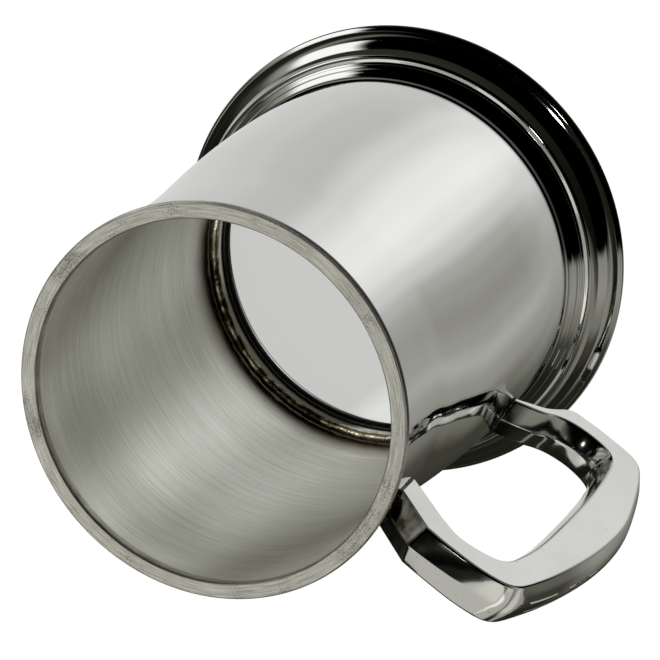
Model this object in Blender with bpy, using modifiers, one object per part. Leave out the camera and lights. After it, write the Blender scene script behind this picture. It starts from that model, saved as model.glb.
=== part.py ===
"""Glass-bottomed pewter tankard, standing upright on its foot.

Frame: +Z up and the handle towards +X. The origin is on the ground, at the middle of the ground the
whole tankard covers, handle included, so the axis of the barrel stands a little to -X of it.
Lengths below are millimetres; MM turns them into the metres that Blender works in.
"""
import math

import bpy
import bmesh
from mathutils import Vector

MM = 0.001
COLLECTION = "pewter_tankard"

# Overall sizes
HEIGHT = 120.0
TURN_STEPS = 48          # segments round every turned piece
GAP = 0.3                # clearance between touching pieces

# Rim band: the flat-topped wire round the mouth
RIM_OUTER = 40.9
RIM_INNER = 37.6
RIM_DEPTH = 2.0
RIM_ROUND = 0.35

# Barrel: spun wall, widest low down and drawn in towards the mouth
BARREL_FOOT_END = 9.5
BARREL_TOP = HEIGHT - RIM_DEPTH - GAP
LIP_BEND = 112.0         # extra height at which the thickening lip is cut
BARREL_OUTLINE = (       # height, outer radius
    (BARREL_FOOT_END, 43.7),
    (19.0, 44.1),
    (28.0, 44.4),
    (37.0, 44.25),
    (48.0, 43.7),
    (60.0, 42.8),
    (72.0, 41.6),
    (82.0, 40.6),
    (92.0, 39.95),
    (102.0, 39.8),
    (BARREL_TOP, 39.8),
)
WALL_LOW = 1.2           # wall thickness at the bottom
WALL_MID = 1.4           # and up to where the lip thickens
LIP_START = 106.0
SOCKET_RADIUS = 42.9     # plain bore at the bottom that takes the seat collar
SOCKET_TOP = 24.0

# Foot: spun, hollow below, soldered round the bottom of the barrel
FOOT_RADIUS = 54.7
FOOT_BORE = 44.4
FOOT_TOP = 16.2
FOOT_SKIN = 1.5
REST_INNER = 52.0
REST_OUTER = 53.6
RIDGE_RADIUS = 49.1
RIDGE_HEIGHT = 10.2
BEAD_RADIUS = 47.2
BEAD_HEIGHT = 11.3
LIP_EDGE = 53.7          # where the hollow of the foot meets its rounded lip
LIP_HEIGHT = 3.7
LIP_ROUND = 1.1          # radius of the foot's outer edge
LIP_MIDDLE = 2.3         # and the height of its centre
FILLET = 2.6             # hollow where the foot runs up the barrel
FILLET_DROP = 0.8        # its centre lies this far under the foot's top
FOOT_NECK = 0.35         # thickness of the foot's top edge
BEAD_ROUND = 0.55
RIDGE_ROUND = 0.5
SEAM_HEIGHT = 8.4

# Seat collar, the glass that rests on its ledge and the rubber seal pressed in over the glass
COLLAR_OUTER = SOCKET_RADIUS - 0.35
COLLAR_INNER = 41.2
COLLAR_BOTTOM = 4.8
COLLAR_TOP = 15.8
COLLAR_CROWN = 12.3      # height at which the collar's top starts to round over
CROWN_EDGE = 0.2         # flat left at the collar's top
LEDGE_INNER = 40.2
LEDGE_THICK = 1.2
GLASS_THICK = 4.0
GLASS_RADIUS = COLLAR_INNER - GAP
GLASS_EDGE = 0.3         # ground off its corners
SEAL_OUTER = COLLAR_INNER - GAP
SEAL_INNER = 39.9
SEAL_THICK = 1.0
SEAL_ROUND = 0.3
BEAD_TUBE = 1.25         # thickness of the solder bead over the collar, as a radius
FOOT_SEAM_TUBE = 0.55

# Handle: cast, six-sided in section. Each station is a cut across it:
# outer edge x and z, inner edge x and z, half width, outer crest, inner crest, softness (1 = rounded crest)
HANDLE_STATIONS = (
    (40.2, 106.9, 40.2, 99.3, 4.7, 1.7, 1.2, 0.0),
    (48.4, 112.8, 49.2, 105.2, 4.8, 2.1, 1.5, 0.0),
    (54.0, 113.2, 54.2, 107.2, 4.8, 1.5, 1.6, 0.2),
    (62.0, 112.9, 60.4, 106.2, 4.9, 1.1, 1.6, 0.5),
    (68.6, 110.4, 64.3, 103.7, 5.0, 1.0, 1.6, 0.8),
    (72.0, 103.0, 66.4, 98.4, 5.1, 1.8, 1.6, 1.0),
    (75.8, 88.5, 68.3, 88.0, 5.2, 2.3, 1.6, 1.0),
    (78.8, 72.0, 69.6, 72.0, 5.2, 2.4, 1.6, 1.0),
    (80.0, 57.0, 70.4, 56.0, 5.2, 2.2, 1.6, 1.0),
    (78.8, 43.5, 70.4, 42.5, 5.2, 2.3, 1.6, 1.0),
    (76.6, 31.0, 69.6, 33.6, 5.1, 2.3, 1.6, 0.9),
    (73.8, 25.0, 66.9, 30.0, 5.1, 1.6, 1.6, 0.7),
    (67.0, 23.4, 62.0, 29.0, 5.0, 1.4, 1.8, 0.4),
    (59.5, 23.4, 57.4, 29.9, 5.0, 1.6, 1.8, 0.2),
    (55.4, 24.6, 54.0, 31.9, 5.0, 2.0, 1.8, 0.0),
    (51.0, 31.6, 50.8, 35.0, 4.9, 2.8, 1.8, 0.0),
    (44.6, 37.4, 44.6, 39.2, 4.8, 3.0, 1.8, 0.0),
)
HANDLE_KINKS = (1,)      # stations where the run of the handle breaks sharply
HANDLE_CUTS = 3          # cuts between two stations
HANDLE_SPREAD = (-1.0, -0.5, 0.0, 0.5, 1.0)   # places across the width, as shares of the half width
SOLDER_REACH = 1.1       # how far the root solder spreads over the wall
SOLDER_CLIMB = 0.45      # how far it stands out round the handle
SOLDER_CLEAR = 0.45      # its distance to the handle's own skin
UPPER_SOLDER_RUN = 0.12  # how far the root solder runs along the handle, counted in stations
LOWER_SOLDER_RUN = 0.16
DIRECTION_STEP = 0.05    # stations to either side between which the run's direction is taken


def clear_scene():
    for old in list(bpy.data.objects):
        bpy.data.objects.remove(old, do_unlink=True)


def model_collection():
    group = bpy.data.collections.new(COLLECTION)
    bpy.context.scene.collection.children.link(group)
    return group


def stand_on_axis(group):
    """Parent every piece to an empty on the barrel's axis, which centres the whole on the origin."""
    reach = max(point.x for ring in handle_rings() for point in ring)
    axis = bpy.data.objects.new("barrel_axis", None)
    axis.location.x = -0.5 * (reach - FOOT_RADIUS) * MM
    for item in list(group.objects):
        item.parent = axis
    group.objects.link(axis)


def material(name, colour, metallic, roughness, transmission=0.0):
    made = bpy.data.materials.new(name)
    made.use_nodes = True
    shader = made.node_tree.nodes["Principled BSDF"]
    shader.inputs["Base Color"].default_value = (*colour, 1.0)
    shader.inputs["Metallic"].default_value = metallic
    shader.inputs["Roughness"].default_value = roughness
    shader.inputs["Transmission Weight"].default_value = transmission
    made.diffuse_color = (*colour, 1.0)
    return made


def round_over(mesh):
    mesh.shade_smooth()
    mesh.set_sharp_from_angle(angle=math.radians(35))


def turned(group, name, profile, finish):
    """A closed profile of (radius, height) points, turned about Z.

    The points run down the outer side and back up the inner side.
    """
    mesh = bpy.data.meshes.new(name)
    corners = [(radius * MM, 0.0, height * MM) for radius, height in profile]
    edges = [(i, (i + 1) % len(corners)) for i in range(len(corners))]
    mesh.from_pydata(corners, edges, [])
    item = bpy.data.objects.new(name, mesh)
    group.objects.link(item)
    mesh.materials.append(finish)
    screw = item.modifiers.new("turn", "SCREW")
    screw.axis = "Z"
    screw.angle = 2 * math.pi
    screw.steps = TURN_STEPS
    screw.render_steps = TURN_STEPS
    screw.use_merge_vertices = True
    screw.merge_threshold = 0.00001
    screw.use_smooth_shade = True
    return item


def arc(centre, radius, start, end, cuts):
    """Points on a circular arc in the profile plane; angles in degrees from +radius towards +height."""
    points = []
    for i in range(cuts + 1):
        angle = math.radians(start + (end - start) * i / cuts)
        points.append((centre[0] + radius * math.cos(angle), centre[1] + radius * math.sin(angle)))
    return points


def at_height(outline, height):
    """Radius of a (height, radius) outline at a height, by straight interpolation."""
    for (low, first), (high, second) in zip(outline, outline[1:]):
        if height <= high:
            return first + (second - first) * (height - low) / (high - low)
    return outline[-1][1]


def wall_thickness(height):
    if height < LIP_START:
        share = (height - SOCKET_TOP) / (LIP_START - SOCKET_TOP)
        return WALL_LOW + (WALL_MID - WALL_LOW) * share
    share = (height - LIP_START) / (BARREL_TOP - LIP_START)
    lip = at_height(BARREL_OUTLINE, BARREL_TOP) - RIM_INNER
    return WALL_MID + (lip - WALL_MID) * share * share


def make_barrel(group, pewter):
    outer = [(radius, height) for height, radius in reversed(BARREL_OUTLINE)]
    socket = [(SOCKET_RADIUS, BARREL_FOOT_END), (SOCKET_RADIUS, SOCKET_TOP)]
    heights = [height for height, _ in BARREL_OUTLINE if height > SOCKET_TOP + 1.0]
    heights.insert(-1, LIP_BEND)
    inner = [(at_height(BARREL_OUTLINE, height) - wall_thickness(height), height) for height in heights]
    turned(group, "barrel", outer + socket + inner, pewter)


def make_rim(group, pewter):
    low = HEIGHT - RIM_DEPTH
    turn = RIM_ROUND
    profile = []
    profile += arc((RIM_OUTER - turn, HEIGHT - turn), turn, 90, 0, 3)
    profile += arc((RIM_OUTER - turn, low + turn), turn, 0, -90, 3)
    profile += [(RIM_INNER, low)]
    profile += arc((RIM_INNER + turn, HEIGHT - turn), turn, 180, 90, 3)
    turned(group, "rim_band", profile, pewter)


def foot_upper_side():
    """Skin of the foot from the barrel down to the ground, as it is seen."""
    neck = FOOT_BORE + FOOT_NECK
    points = [(FOOT_BORE, FOOT_TOP), (neck, FOOT_TOP)]
    points += arc((neck + FILLET, FOOT_TOP - FILLET_DROP), FILLET, 180, 240, 4)
    points += arc((BEAD_RADIUS - BEAD_ROUND, BEAD_HEIGHT), BEAD_ROUND, 80, -30, 4)
    points += [(BEAD_RADIUS + 0.35, RIDGE_HEIGHT + 0.35)]
    points += arc((RIDGE_RADIUS - RIDGE_ROUND, RIDGE_HEIGHT), RIDGE_ROUND, 70, -20, 3)
    points += hollow_of_foot()
    points += arc((FOOT_RADIUS - LIP_ROUND, LIP_MIDDLE), LIP_ROUND, 70, -60, 5)
    points += [(REST_OUTER, 0.0)]
    return points


def hollow_of_foot():
    """Quarter of an ellipse, hollow to the outside, between the ridge and the lip."""
    wide = LIP_EDGE - RIDGE_RADIUS
    deep = RIDGE_HEIGHT - 0.9 - LIP_HEIGHT
    points = []
    for i in range(6):
        angle = math.radians(90 * i / 5)
        points.append((LIP_EDGE - wide * math.cos(angle), LIP_HEIGHT + deep * (1.0 - math.sin(angle))))
    return points


def make_foot(group, pewter):
    under = [(REST_INNER, 0.0), (REST_INNER - 0.3, 1.6)]
    wide = LIP_EDGE - RIDGE_RADIUS
    deep = RIDGE_HEIGHT - LIP_HEIGHT - FOOT_SKIN
    for i in range(4):
        angle = math.radians(90 - 90 * i / 3)
        point = (REST_INNER - 0.3 - wide * math.cos(angle), 2.0 + deep * (1.0 - math.sin(angle)))
        under.append(point)
    under.append((FOOT_BORE + 0.9, SEAM_HEIGHT))
    under.append((FOOT_BORE, SEAM_HEIGHT + 0.8))
    turned(group, "foot", foot_upper_side() + under, pewter)


def make_collar(group, pewter):
    """Ring with a ledge inside its foot and its top rounded over towards the wall."""
    wide = COLLAR_OUTER - CROWN_EDGE - COLLAR_INNER
    tall = COLLAR_TOP - COLLAR_CROWN
    crown = []
    for i in range(6):
        angle = math.radians(90 * i / 5)
        point = (COLLAR_INNER + wide * (1.0 - math.cos(angle)), COLLAR_CROWN + tall * math.sin(angle))
        crown.append(point)
    profile = [
        (COLLAR_OUTER, COLLAR_TOP),
        (COLLAR_OUTER, COLLAR_BOTTOM),
        (LEDGE_INNER, COLLAR_BOTTOM),
        (LEDGE_INNER, COLLAR_BOTTOM + LEDGE_THICK),
        (COLLAR_INNER, COLLAR_BOTTOM + LEDGE_THICK),
    ]
    turned(group, "seat_collar", profile + crown, pewter)


def make_glass(group, glass):
    """Flat disc with its edges ground off."""
    mesh = bpy.data.meshes.new("glass_disc")
    shape = bmesh.new()
    bmesh.ops.create_cone(
        shape,
        cap_ends=True,
        segments=TURN_STEPS,
        radius1=GLASS_RADIUS * MM,
        radius2=GLASS_RADIUS * MM,
        depth=GLASS_THICK * MM,
    )
    shape.to_mesh(mesh)
    shape.free()
    mesh.materials.append(glass)
    item = bpy.data.objects.new("glass_disc", mesh)
    item.location.z = (COLLAR_BOTTOM + LEDGE_THICK + GAP + 0.5 * GLASS_THICK) * MM
    group.objects.link(item)
    edge = item.modifiers.new("ground edge", "BEVEL")
    edge.width = GLASS_EDGE * MM
    edge.segments = 1
    edge.limit_method = "ANGLE"
    edge.angle_limit = math.radians(60)
    round_over(mesh)


def make_seal(group, rubber):
    """Rubber ring over the edge of the glass, round-shouldered towards the middle."""
    low = COLLAR_BOTTOM + LEDGE_THICK + GAP + GLASS_THICK + GAP
    high = low + SEAL_THICK
    profile = [(SEAL_OUTER, high), (SEAL_OUTER, low), (SEAL_INNER, low)]
    profile += arc((SEAL_INNER + SEAL_ROUND, high - SEAL_ROUND), SEAL_ROUND, 180, 90, 3)
    turned(group, "glass_seal", profile, rubber)


def make_solder_ring(group, name, radius, height, tube, solder):
    profile = arc((radius, height), tube, 90, -270, 8)[:-1]
    turned(group, name, profile, solder)


def hermite(before, start, end, after, share):
    """Cubic between start and end whose slopes come from the neighbours, where there are any."""
    slope_in = (end - start) if before is None else 0.5 * (end - before)
    slope_out = (end - start) if after is None else 0.5 * (after - start)
    square = share * share
    cube = square * share
    return (
        (2 * cube - 3 * square + 1) * start
        + (cube - 2 * square + share) * slope_in
        + (3 * square - 2 * cube) * end
        + (cube - square) * slope_out
    )


def handle_station(place):
    """Values of the handle's section at a place counted in stations."""
    index = min(int(place), len(HANDLE_STATIONS) - 2)
    share = place - index
    before = None if index == 0 or index in HANDLE_KINKS else HANDLE_STATIONS[index - 1]
    last = index + 2 >= len(HANDLE_STATIONS) or index + 1 in HANDLE_KINKS
    after = None if last else HANDLE_STATIONS[index + 2]
    values = []
    for column in range(len(HANDLE_STATIONS[0])):
        values.append(
            hermite(
                None if before is None else before[column],
                HANDLE_STATIONS[index][column],
                HANDLE_STATIONS[index + 1][column],
                None if after is None else after[column],
                share,
            )
        )
    return values


def handle_section(place):
    """Ring of points round the handle: over the outer side, then back over the inner side."""
    out_x, out_z, in_x, in_z, half, out_crest, in_crest, soft = handle_station(place)
    outer = Vector((out_x, 0.0, out_z))
    inner = Vector((in_x, 0.0, in_z))
    # The crest stands out square to the run of the handle, which at the roots is the slope of the stub.
    ahead = handle_station(min(place + DIRECTION_STEP, len(HANDLE_STATIONS) - 1))
    behind = handle_station(max(place - DIRECTION_STEP, 0.0))
    run = Vector((ahead[0] - behind[0], 0.0, ahead[1] - behind[1]))
    run += Vector((ahead[2] - behind[2], 0.0, ahead[3] - behind[3]))
    outward = Vector((-run.z, 0.0, run.x)).normalized()
    at_root = place == 0 or place == len(HANDLE_STATIONS) - 1
    if at_root:
        outward = (outer - inner).normalized()
    ring = []
    for side, edge, crest in ((1.0, outer, out_crest), (-1.0, inner, in_crest)):
        for spread in HANDLE_SPREAD:
            across = side * spread
            rise = (1.0 - soft) * (1.0 - abs(across)) + soft * (1.0 - across * across)
            point = edge + outward * (side * crest * rise)
            ring.append(Vector((point.x, across * half, point.z)))
    return ring


def loft(name, rings, closed_run, group, finish):
    """Skin over equal rings of points; the ends are capped unless the run of rings is closed."""
    shape = bmesh.new()
    levels = [[shape.verts.new(point * MM) for point in ring] for ring in rings]
    count = len(rings[0])
    pairs = list(zip(levels, levels[1:]))
    if closed_run:
        pairs.append((levels[-1], levels[0]))
    for lower, upper in pairs:
        for i in range(count):
            j = (i + 1) % count
            shape.faces.new((lower[i], lower[j], upper[j], upper[i]))
    if not closed_run:
        shape.faces.new(list(reversed(levels[0])))
        shape.faces.new(levels[-1])
    bmesh.ops.recalc_face_normals(shape, faces=shape.faces)
    mesh = bpy.data.meshes.new(name)
    shape.to_mesh(mesh)
    shape.free()
    mesh.materials.append(finish)
    round_over(mesh)
    item = bpy.data.objects.new(name, mesh)
    group.objects.link(item)


def handle_rings():
    spans = len(HANDLE_STATIONS) - 1
    return [handle_section(i / HANDLE_CUTS) for i in range(spans * HANDLE_CUTS + 1)]


def make_handle(group, pewter):
    loft("handle", handle_rings(), False, group, pewter)


def spread_ring(ring, distance):
    """The ring grown outwards in its own plane, from its middle."""
    middle = sum(ring, Vector()) / len(ring)
    grown = []
    for point in ring:
        out = point - middle
        out.x = 0.0
        grown.append(point + out.normalized() * distance)
    return grown


def lay_on_wall(ring):
    """The ring pushed along X until it stands one gap off the barrel."""
    laid = []
    for point in ring:
        radius = at_height(BARREL_OUTLINE, point.z) + GAP
        laid.append(Vector((math.sqrt(radius * radius - point.y * point.y), point.y, point.z)))
    return laid


def make_root_solder(group, name, root, near_root, solder):
    """Bead of solder round a root of the handle, lying against the barrel."""
    foot_ring = handle_section(root)
    upper_ring = handle_section(near_root)
    rings = [
        lay_on_wall(spread_ring(foot_ring, SOLDER_CLEAR)),
        lay_on_wall(spread_ring(foot_ring, SOLDER_CLEAR + SOLDER_REACH)),
        spread_ring(upper_ring, SOLDER_CLEAR + SOLDER_CLIMB),
        spread_ring(upper_ring, SOLDER_CLEAR),
    ]
    loft(name, rings, True, group, solder)


def build():
    clear_scene()
    group = model_collection()
    polished = material("polished_pewter", (0.80, 0.80, 0.77), 1.0, 0.06)
    spun = material("spun_pewter", (0.72, 0.72, 0.68), 1.0, 0.25)
    worn = material("worn_pewter", (0.66, 0.65, 0.60), 1.0, 0.35)
    solder = material("solder", (0.38, 0.34, 0.28), 1.0, 0.45)
    rubber = material("black_rubber", (0.01, 0.01, 0.01), 0.0, 0.5)
    glass = material("clear_glass", (0.95, 0.97, 0.96), 0.0, 0.02, 1.0)
    make_barrel(group, polished)
    make_rim(group, worn)
    make_foot(group, polished)
    make_collar(group, spun)
    make_seal(group, rubber)
    make_glass(group, glass)
    bead_radius = SOCKET_RADIUS - BEAD_TUBE - 1.3 * GAP
    make_solder_ring(group, "base_solder_bead", bead_radius, COLLAR_TOP + GAP + BEAD_TUBE, BEAD_TUBE, solder)
    seam_radius = BARREL_OUTLINE[0][1] + GAP + 0.1
    make_solder_ring(group, "foot_solder_seam", seam_radius, SEAM_HEIGHT, FOOT_SEAM_TUBE, solder)
    make_handle(group, polished)
    last = len(HANDLE_STATIONS) - 1
    make_root_solder(group, "upper_root_solder", 0, UPPER_SOLDER_RUN, solder)
    make_root_solder(group, "lower_root_solder", last, last - LOWER_SOLDER_RUN, solder)
    stand_on_axis(group)


build()
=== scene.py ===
"""Looks of the pewter tankard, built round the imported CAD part. Metres, +Z up.

Every turned piece takes its outline from the CAD node it replaces, refined into smooth curves, and the
cast handle is lofted again through the CAD handle's own sections. The tankard stands on its foot, and the
camera looks down into its mouth, rolled over, so that in the picture the tankard seems to lie on its side.
"""

import math

import bpy
import bmesh
from mathutils import Matrix, Vector, noise


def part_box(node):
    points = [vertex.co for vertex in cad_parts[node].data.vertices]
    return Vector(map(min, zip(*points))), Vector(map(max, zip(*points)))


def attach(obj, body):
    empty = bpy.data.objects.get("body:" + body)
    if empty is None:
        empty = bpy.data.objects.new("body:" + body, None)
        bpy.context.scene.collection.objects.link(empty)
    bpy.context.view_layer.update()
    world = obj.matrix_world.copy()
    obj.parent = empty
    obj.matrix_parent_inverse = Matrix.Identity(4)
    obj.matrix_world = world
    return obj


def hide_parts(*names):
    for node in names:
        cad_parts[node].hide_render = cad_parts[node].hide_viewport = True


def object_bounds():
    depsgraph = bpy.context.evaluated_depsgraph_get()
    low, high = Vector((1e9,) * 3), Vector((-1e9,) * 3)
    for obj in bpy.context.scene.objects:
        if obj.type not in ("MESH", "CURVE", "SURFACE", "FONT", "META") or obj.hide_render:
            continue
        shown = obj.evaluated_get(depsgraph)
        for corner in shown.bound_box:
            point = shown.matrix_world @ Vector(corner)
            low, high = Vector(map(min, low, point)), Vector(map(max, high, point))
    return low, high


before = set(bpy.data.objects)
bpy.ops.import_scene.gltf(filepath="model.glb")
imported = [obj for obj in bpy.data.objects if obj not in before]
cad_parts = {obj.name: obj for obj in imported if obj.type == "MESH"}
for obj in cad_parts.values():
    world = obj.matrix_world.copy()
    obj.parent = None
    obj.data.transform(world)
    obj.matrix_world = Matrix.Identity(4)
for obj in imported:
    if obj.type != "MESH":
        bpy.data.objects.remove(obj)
cad_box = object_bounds()

MM = 0.001
BODY = "root"
AROUND = 288             # segments round every turned piece
BEAD_AROUND = 2 * AROUND  # and round a ring of solder
BEAD_CUTS = 14           # round that ring's own section
OVERLAP = 0.05 * MM      # how far a joined piece reaches into its neighbour

rim_low, rim_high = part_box("rim_band")
AXIS_X = 0.5 * (rim_low.x + rim_high.x)
AXIS = Vector((AXIS_X, 0.0, 0.0))
WIDEST = min(AXIS_X - cad_box[0].x, cad_box[1].y)     # largest radius that stays inside the CAD part's box

# Camera, from the tankard's axis on the ground
CAMERA_PLACE = Vector((0.0631, 0.2356, 0.5532))
CAMERA_AIM = Vector((0.0036, -0.0009, 0.0571))
CAMERA_ROLL = -129.36
CAMERA_LENS = 138.07
SENSOR = 36.0


# ---------------------------------------------------------------- outlines of turned pieces

def cad_profile(node):
    """The closed outline of a turned CAD node: (radius, height) points, outer side down, inner side up."""
    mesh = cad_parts[node].data
    links = {}

    def key(point):
        return round((point.x - AXIS_X) / MM, 3), round(point.z / MM, 3)

    def in_plane(point):
        return abs(point.y) < 0.002 * MM and point.x > AXIS_X

    for face in mesh.polygons:
        corners = [mesh.vertices[i].co for i in face.vertices]
        for a, b in zip(corners, corners[1:] + corners[:1]):
            if in_plane(a) and in_plane(b) and key(a) != key(b):
                links.setdefault(key(a), set()).add(key(b))
                links.setdefault(key(b), set()).add(key(a))
    start = max(links, key=lambda p: (p[1], p[0]))
    outline = [start]
    here = max(links[start], key=lambda p: (p[0], p[1]))
    while here != start:
        outline.append(here)
        onward = [p for p in links[here] if p != outline[-2]]
        here = onward[0]
    return [Vector((radius * MM, height * MM)) for radius, height in outline]


def turn_at(before, here, after):
    """Angle in degrees by which a line of points turns at one of them."""
    return math.degrees((here - before).angle(after - here, 0.0))


def tangent(before, here, after):
    """Direction of the circle through three points, at the middle one."""
    coming = here - before
    going = after - here
    near, far = coming.length, going.length
    return (coming / near * far + going / far * near).normalized()


def curve_between(before, start, end, after, cuts):
    """Points from start up to, not including, end, on a curve that runs on from its neighbours."""
    chord = end - start
    leave = chord.normalized() if before is None else tangent(before, start, end)
    arrive = chord.normalized() if after is None else tangent(start, end, after)
    points = []
    for i in range(cuts):
        t = i / cuts
        square, cube = t * t, t * t * t
        points.append(
            (2 * cube - 3 * square + 1) * start
            + (cube - 2 * square + t) * chord.length * leave
            + (3 * square - 2 * cube) * end
            + (cube - square) * chord.length * arrive
        )
    return points


def rounded(before, corner, after, size, cuts=4):
    """A corner cut back by size along both sides and rounded over."""
    start = corner + (before - corner).normalized() * min(size, 0.4 * (before - corner).length)
    end = corner + (after - corner).normalized() * min(size, 0.4 * (after - corner).length)
    points = []
    for i in range(cuts + 1):
        t = i / cuts
        points.append(start * (1 - t) ** 2 + corner * 2 * t * (1 - t) + end * t * t)
    return points


def refine(outline, spacing, sharp=42.0, edge=0.15 * MM):
    """A CAD outline with its smooth runs curved and its sharp corners rounded over by a small edge."""
    count = len(outline)
    is_corner = [
        turn_at(outline[i - 1], outline[i], outline[(i + 1) % count]) > sharp for i in range(count)
    ]
    fine = []
    for i in range(count):
        start, end = outline[i], outline[(i + 1) % count]
        before = None if is_corner[i] else outline[i - 1]
        after = None if is_corner[(i + 1) % count] else outline[(i + 2) % count]
        cuts = max(1, math.ceil((end - start).length / spacing))
        span = curve_between(before, start, end, after, cuts)
        if is_corner[i]:
            span = rounded(outline[i - 1], start, span[1] if len(span) > 1 else end, edge) + span[1:]
        fine += span
    lowest = min(p.y for p in outline)
    highest = max(p.y for p in outline)
    return [Vector((min(p.x, WIDEST), min(max(p.y, lowest), highest))) for p in fine]


def turned_piece(name, outline, finishes, pick=None, around=AROUND):
    """A closed outline turned about the tankard's axis; pick chooses a finish for each stretch of outline."""
    shape = bmesh.new()
    rings = []
    for j in range(around):
        angle = 2 * math.pi * j / around
        across, along = math.cos(angle), math.sin(angle)
        rings.append([shape.verts.new((AXIS_X + p.x * across, p.x * along, p.y)) for p in outline])
    count = len(outline)
    for j in range(around):
        here, there = rings[j], rings[(j + 1) % around]
        for i in range(count):
            k = (i + 1) % count
            face = shape.faces.new((here[i], there[i], there[k], here[k]))
            face.material_index = pick(outline[i], outline[k]) if pick else 0
    bmesh.ops.recalc_face_normals(shape, faces=shape.faces)
    return as_piece(name, shape, finishes)


def as_piece(name, shape, finishes):
    mesh = bpy.data.meshes.new(name)
    shape.to_mesh(mesh)
    shape.free()
    for finish in finishes:
        mesh.materials.append(finish)
    mesh.shade_smooth()
    piece = bpy.data.objects.new(name, mesh)
    bpy.context.scene.collection.objects.link(piece)
    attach(piece, BODY)
    return piece


# ---------------------------------------------------------------- materials

MIX_SHARE, MIX_FIRST, MIX_SECOND, MIX_RESULT = 0, 6, 7, 2     # colour sockets of a Mix node
DIM_WARMTH = 0.30        # how much of its blue the darkest light loses
NO_HEIGHT = 1.0          # a height over everything
# black for painted shade
PAINTED_SHADE_BLACK = (0.004, 0.004, 0.003)

# Where darkening fades in or out, in heights, distances from the axis, and places along X: painted shade on
# the foot's corner, the rim's side and the collar by the seal, painted dark reflection on the handle by its
# roots, and darker stretches at the rim's bore edge and low in the bore
bead_low, bead_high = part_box("base_solder_bead")
foot_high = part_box("foot")[1]
root_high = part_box("upper_root_solder")[1]
RIM_BORE = min(p.x for p in cad_profile("rim_band"))
BORE_EDGE_DARKENING = (RIM_BORE + 0.05 * MM, RIM_BORE + 0.30 * MM)
RIM_SIDE = RIM_BORE + 1.5 * MM
RIM_SIDE_SHADE_HEIGHTS = (rim_high.z - 0.5 * MM, rim_high.z - 0.2 * MM)
FOOT_CORNER = foot_high.z - 2.4 * MM
CORNER_FADE = 0.5 * MM
SEAL_SHADE_HEIGHTS = (bead_low.z - 3.5 * MM, bead_low.z - 3.0 * MM)
LOW_BORE_DARKENING = (bead_high.z - 1.0 * MM, bead_high.z + 9.0 * MM)
ROOT_DARK_REFLECTION_REACH = (root_high.x + 4.5 * MM, root_high.x + 6.5 * MM)

SCRATCHES_ACROSS = 5000.0     # to the metre, across the rim
SCRATCHES_ROUND = 36.0        # to the turn, along it

# Shares round the axis: degrees from +X, and share. They place painted shade on the foot's corner and on
# the rim's side, painted highlights on the base bead and the collar, and a faint even share elsewhere. They
# were set beside tables of brightness that another program measured on the reference picture.
CORNER_SHADE_SHARES = ((0, 0.5), (20, 0.2), (36, 0.2), (46, 0.97), (160, 0.97), (180, 0.9))
RIM_SIDE_SHADE_SHARES = ((0, 0.0), (25, 0.1), (37, 0.97), (95, 0.97), (112, 0.4), (130, 0.0))
BEAD_HIGHLIGHT_SHARES = ((0, 0.2), (180, 0.5), (200, 0.8), (210, 0.4), (220, 0.0), (288, 0.0), (296, 0.9), (330, 0.5))
COLLAR_HIGHLIGHT_SHARES = (
    (0, 0.3), (100, 0.3), (190, 0.6), (206, 1.0), (218, 0.8), (232, 0.2), (255, 0.05), (292, 0.05),
    (299, 1.0), (306, 0.9), (314, 0.4),
)
FAINT_EVEN_SHARE = ((0, 0.05), (180, 0.05))


def start_material(name):
    made = bpy.data.materials.new(name)
    made.use_nodes = True
    tree = made.node_tree
    return made, tree, tree.nodes["Principled BSDF"]


def add(tree, kind, links=None, **settings):
    """A node with its plain properties and input values set, and other nodes' outputs linked in."""
    made = tree.nodes.new(kind)
    for name, value in settings.items():
        setattr(made, name, value)
    for name, source in (links or {}).items():
        if isinstance(source, bpy.types.NodeSocket):
            tree.links.new(source, made.inputs[name])
        else:
            made.inputs[name].default_value = source
    return made


def stretched_noise(tree, scale, detail, size):
    """Noise over the object's own coordinates, with its grain drawn out by a scale for each axis."""
    place = add(tree, "ShaderNodeTexCoord")
    drawn = add(tree, "ShaderNodeMapping", {"Vector": place.outputs["Object"], "Scale": scale})
    links = {"Vector": drawn.outputs["Vector"], "Scale": size, "Detail": detail, "Roughness": 0.6}
    return add(tree, "ShaderNodeTexNoise", links).outputs["Fac"]


def levels(tree, value, low, high, out_low, out_high):
    """Value mapped from one range to another, and held inside it."""
    links = {"Value": value, "From Min": low, "From Max": high, "To Min": out_low, "To Max": out_high}
    return add(tree, "ShaderNodeMapRange", links).outputs["Result"]


def mix(tree, share, first, second):
    """Colour between first and second, each a colour or another node's output."""
    mixed = add(tree, "ShaderNodeMix", {MIX_SHARE: share}, data_type="RGBA")
    for place, colour in ((MIX_FIRST, first), (MIX_SECOND, second)):
        if isinstance(colour, bpy.types.NodeSocket):
            tree.links.new(colour, mixed.inputs[place])
        else:
            mixed.inputs[place].default_value = (*colour, 1.0)
    return mixed.outputs[MIX_RESULT]


def relief(tree, shader, height, depth, strength=1.0):
    bump = add(tree, "ShaderNodeBump", {"Height": height, "Distance": depth, "Strength": strength})
    tree.links.new(bump.outputs["Normal"], shader.inputs["Normal"])


def math_node(tree, operation, *values):
    return add(tree, "ShaderNodeMath", dict(enumerate(values)), operation=operation).outputs["Value"]


def ramp_round(tree, turn, stops):
    """Light or a share round the axis from (degrees, value) stops, closed on itself; dim light is warmer."""
    made = add(tree, "ShaderNodeValToRGB", {"Fac": turn})
    ramp = made.color_ramp
    ramp.interpolation = "EASE"
    closed = list(stops) + [(360, stops[0][1])]
    for degrees, _ in closed[1:-1]:
        ramp.elements.new(degrees / 360.0)
    for element, (degrees, light) in zip(ramp.elements, closed):
        element.position = degrees / 360.0
        blue = 1.0 - DIM_WARMTH * max(0.0, 1.0 - light) ** 3
        element.color = (light, light, light * blue, 1.0)
    return made.outputs["Color"]


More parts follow.
